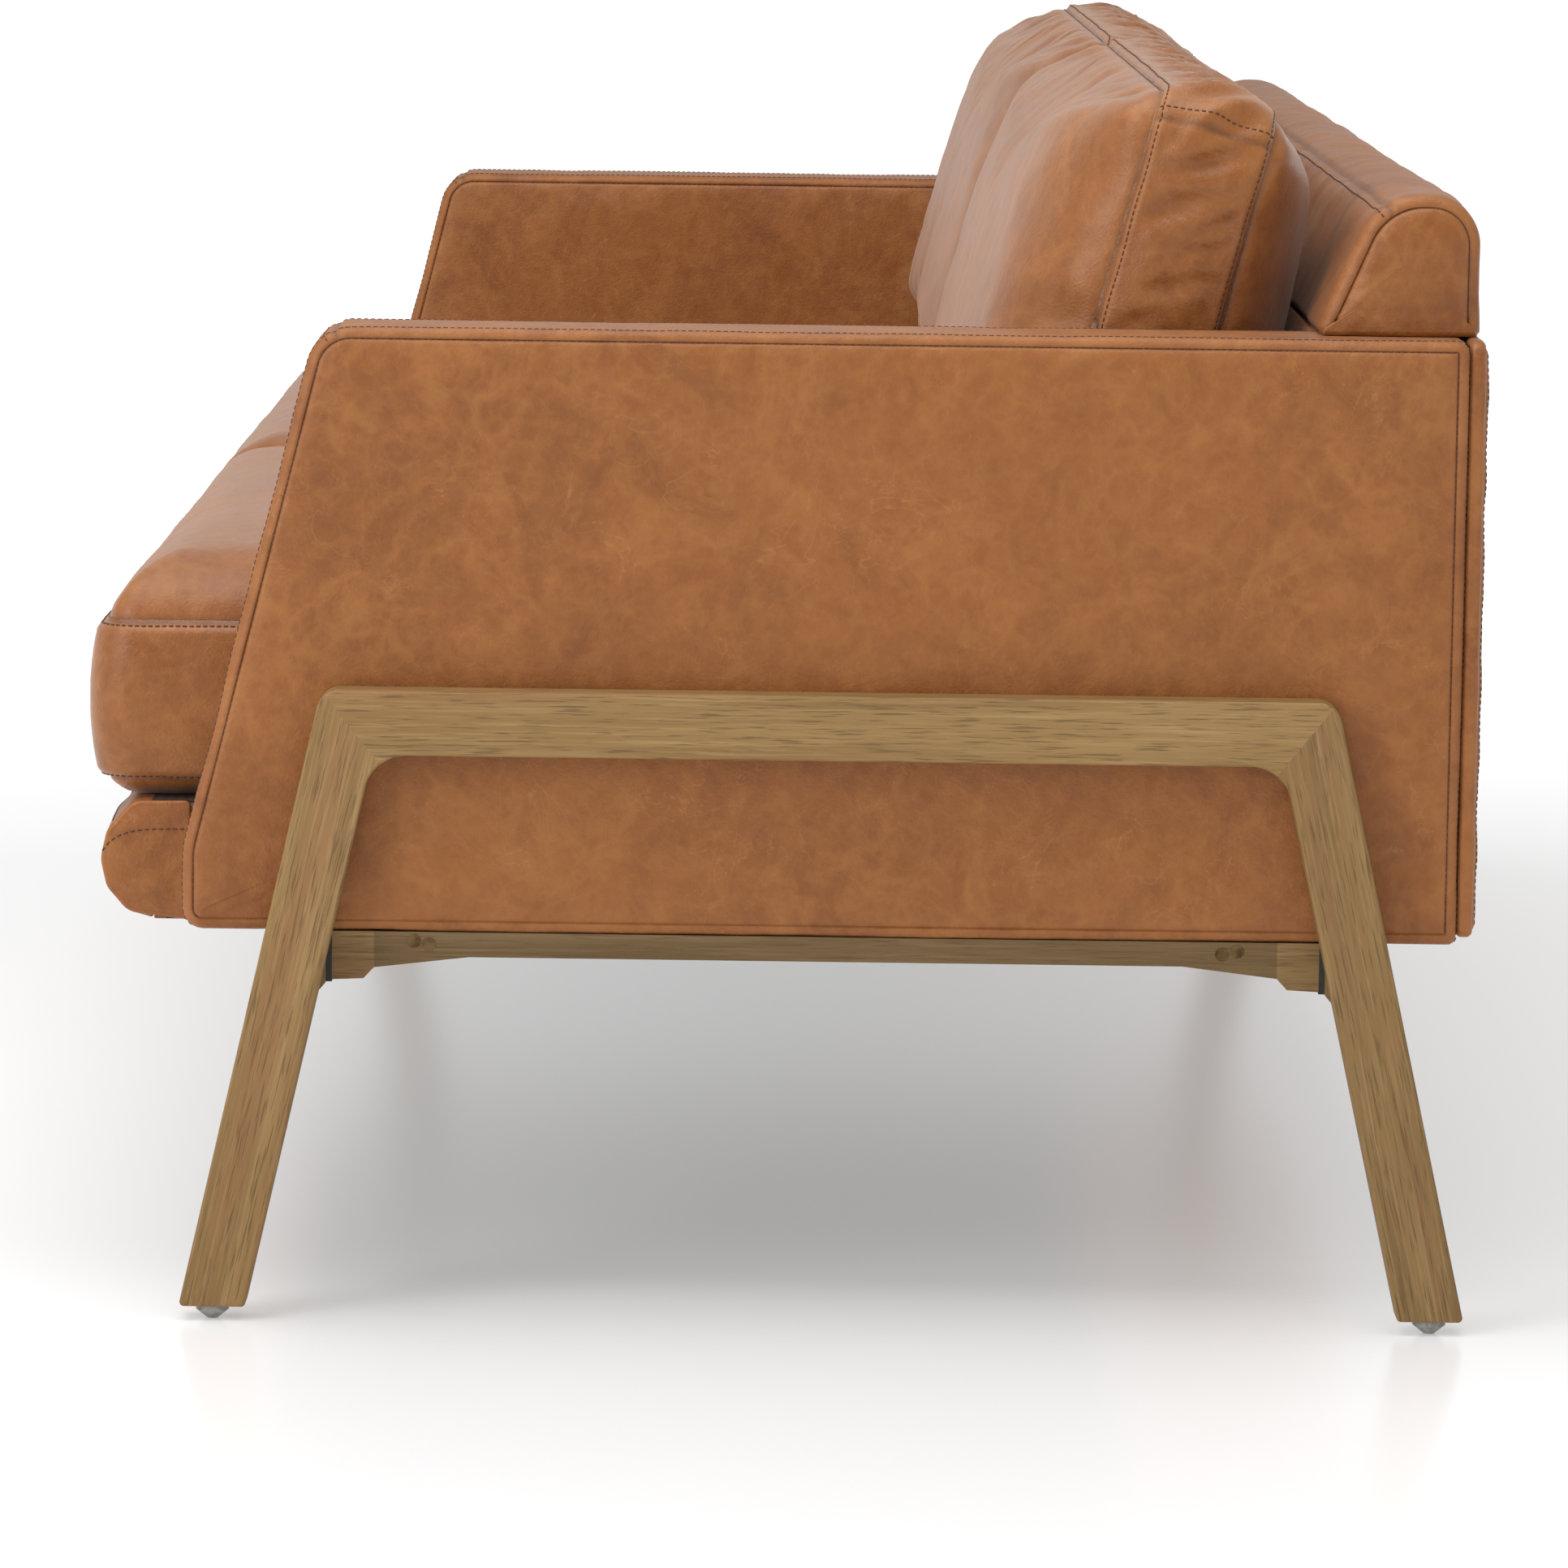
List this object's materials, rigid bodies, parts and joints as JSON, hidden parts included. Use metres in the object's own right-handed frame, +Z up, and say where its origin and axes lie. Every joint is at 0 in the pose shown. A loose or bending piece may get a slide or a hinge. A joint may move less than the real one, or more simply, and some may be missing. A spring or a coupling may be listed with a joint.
{
  "type": "sofa with wooden legs",
  "caption": "Leather sofa with loose seat and back cushions, padded arms and splayed timber leg frames at both ends.",
  "frame": {"origin": "on the floor, midway across the width and the depth", "axes": "+X towards the sitter's left arm, -Y towards the front, +Z up"},
  "size_m": [2.134, 0.929, 0.8347],
  "materials": {
    "oak": "satin",
    "beech": "matte",
    "leather": "satin",
    "foam": "matte",
    "cloth": "matte",
    "felt": "matte",
    "strap": "matte",
    "steel": "satin",
    "zinc": "satin",
    "rubber": "matte",
    "nylon": "matte"
  },
  "bodies": {
    "frame": {"arm_bolts": "zinc", "arm_bottom_rails": "beech", "arm_front_posts": "beech", "arm_middle_rails": "beech", "arm_rear_posts": "beech", "arm_top_rails": "beech", "back_bolts": "zinc", "back_bottom_rail": "beech", "back_cover": "leather", "back_middle_rail": "beech", "back_padding": "foam", "back_posts": "beech", "back_straps": "strap", "back_top_rail": "beech", "corner_tenons": "beech", "deck_cover": "cloth", "deck_pad": "felt", "dust_cover": "cloth", "floor_glides": "nylon", "front_edge_cover": "leather", "front_edge_padding": "foam", "left_arm_cover": "leather", "left_arm_padding": "foam", "left_front_leg": "oak", "left_leg_rail": "oak", "left_rear_leg": "oak", "left_stretcher": "oak", "leg_bolts": "zinc", "leg_mounting_blocks": "oak", "leg_rail_bolts": "zinc", "outside_back_panel": "leather", "right_arm_cover": "leather", "right_arm_padding": "foam", "right_front_leg": "oak", "right_leg_rail": "oak", "right_rear_leg": "oak", "right_stretcher": "oak", "rubber_spacers": "rubber", "seat_centre_rail": "beech", "seat_corner_blocks": "beech", "seat_front_rail": "beech", "seat_left_rail": "beech", "seat_rear_rail": "beech", "seat_right_rail": "beech", "seat_springs": "steel", "spring_clips": "steel", "stretcher_end_blocks": "oak", "stretcher_gussets": "oak", "stretcher_screws": "steel"},
    "left_seat_cushion": {"left_seat_cushion_case": "leather", "left_seat_cushion_filling": "foam"},
    "left_back_cushion": {"left_back_cushion_case": "leather", "left_back_cushion_filling": "foam"},
    "right_seat_cushion": {"right_seat_cushion_case": "leather", "right_seat_cushion_filling": "foam"},
    "right_back_cushion": {"right_back_cushion_case": "leather", "right_back_cushion_filling": "foam"}
  },
  "joints": [
    {"name": "left_seat_cushion_draw", "type": "slide", "parent": "frame", "child": "left_seat_cushion", "axis": [0, -1, 0], "range_m": [0, 0.35]},
    {"name": "left_back_cushion_lift", "type": "slide", "parent": "frame", "child": "left_back_cushion", "axis": [0, 0, 1], "range_m": [0, 0.3]},
    {"name": "right_seat_cushion_draw", "type": "slide", "parent": "frame", "child": "right_seat_cushion", "axis": [0, -1, 0], "range_m": [0, 0.35]},
    {"name": "right_back_cushion_lift", "type": "slide", "parent": "frame", "child": "right_back_cushion", "axis": [0, 0, 1], "range_m": [0, 0.3]}
  ]
}
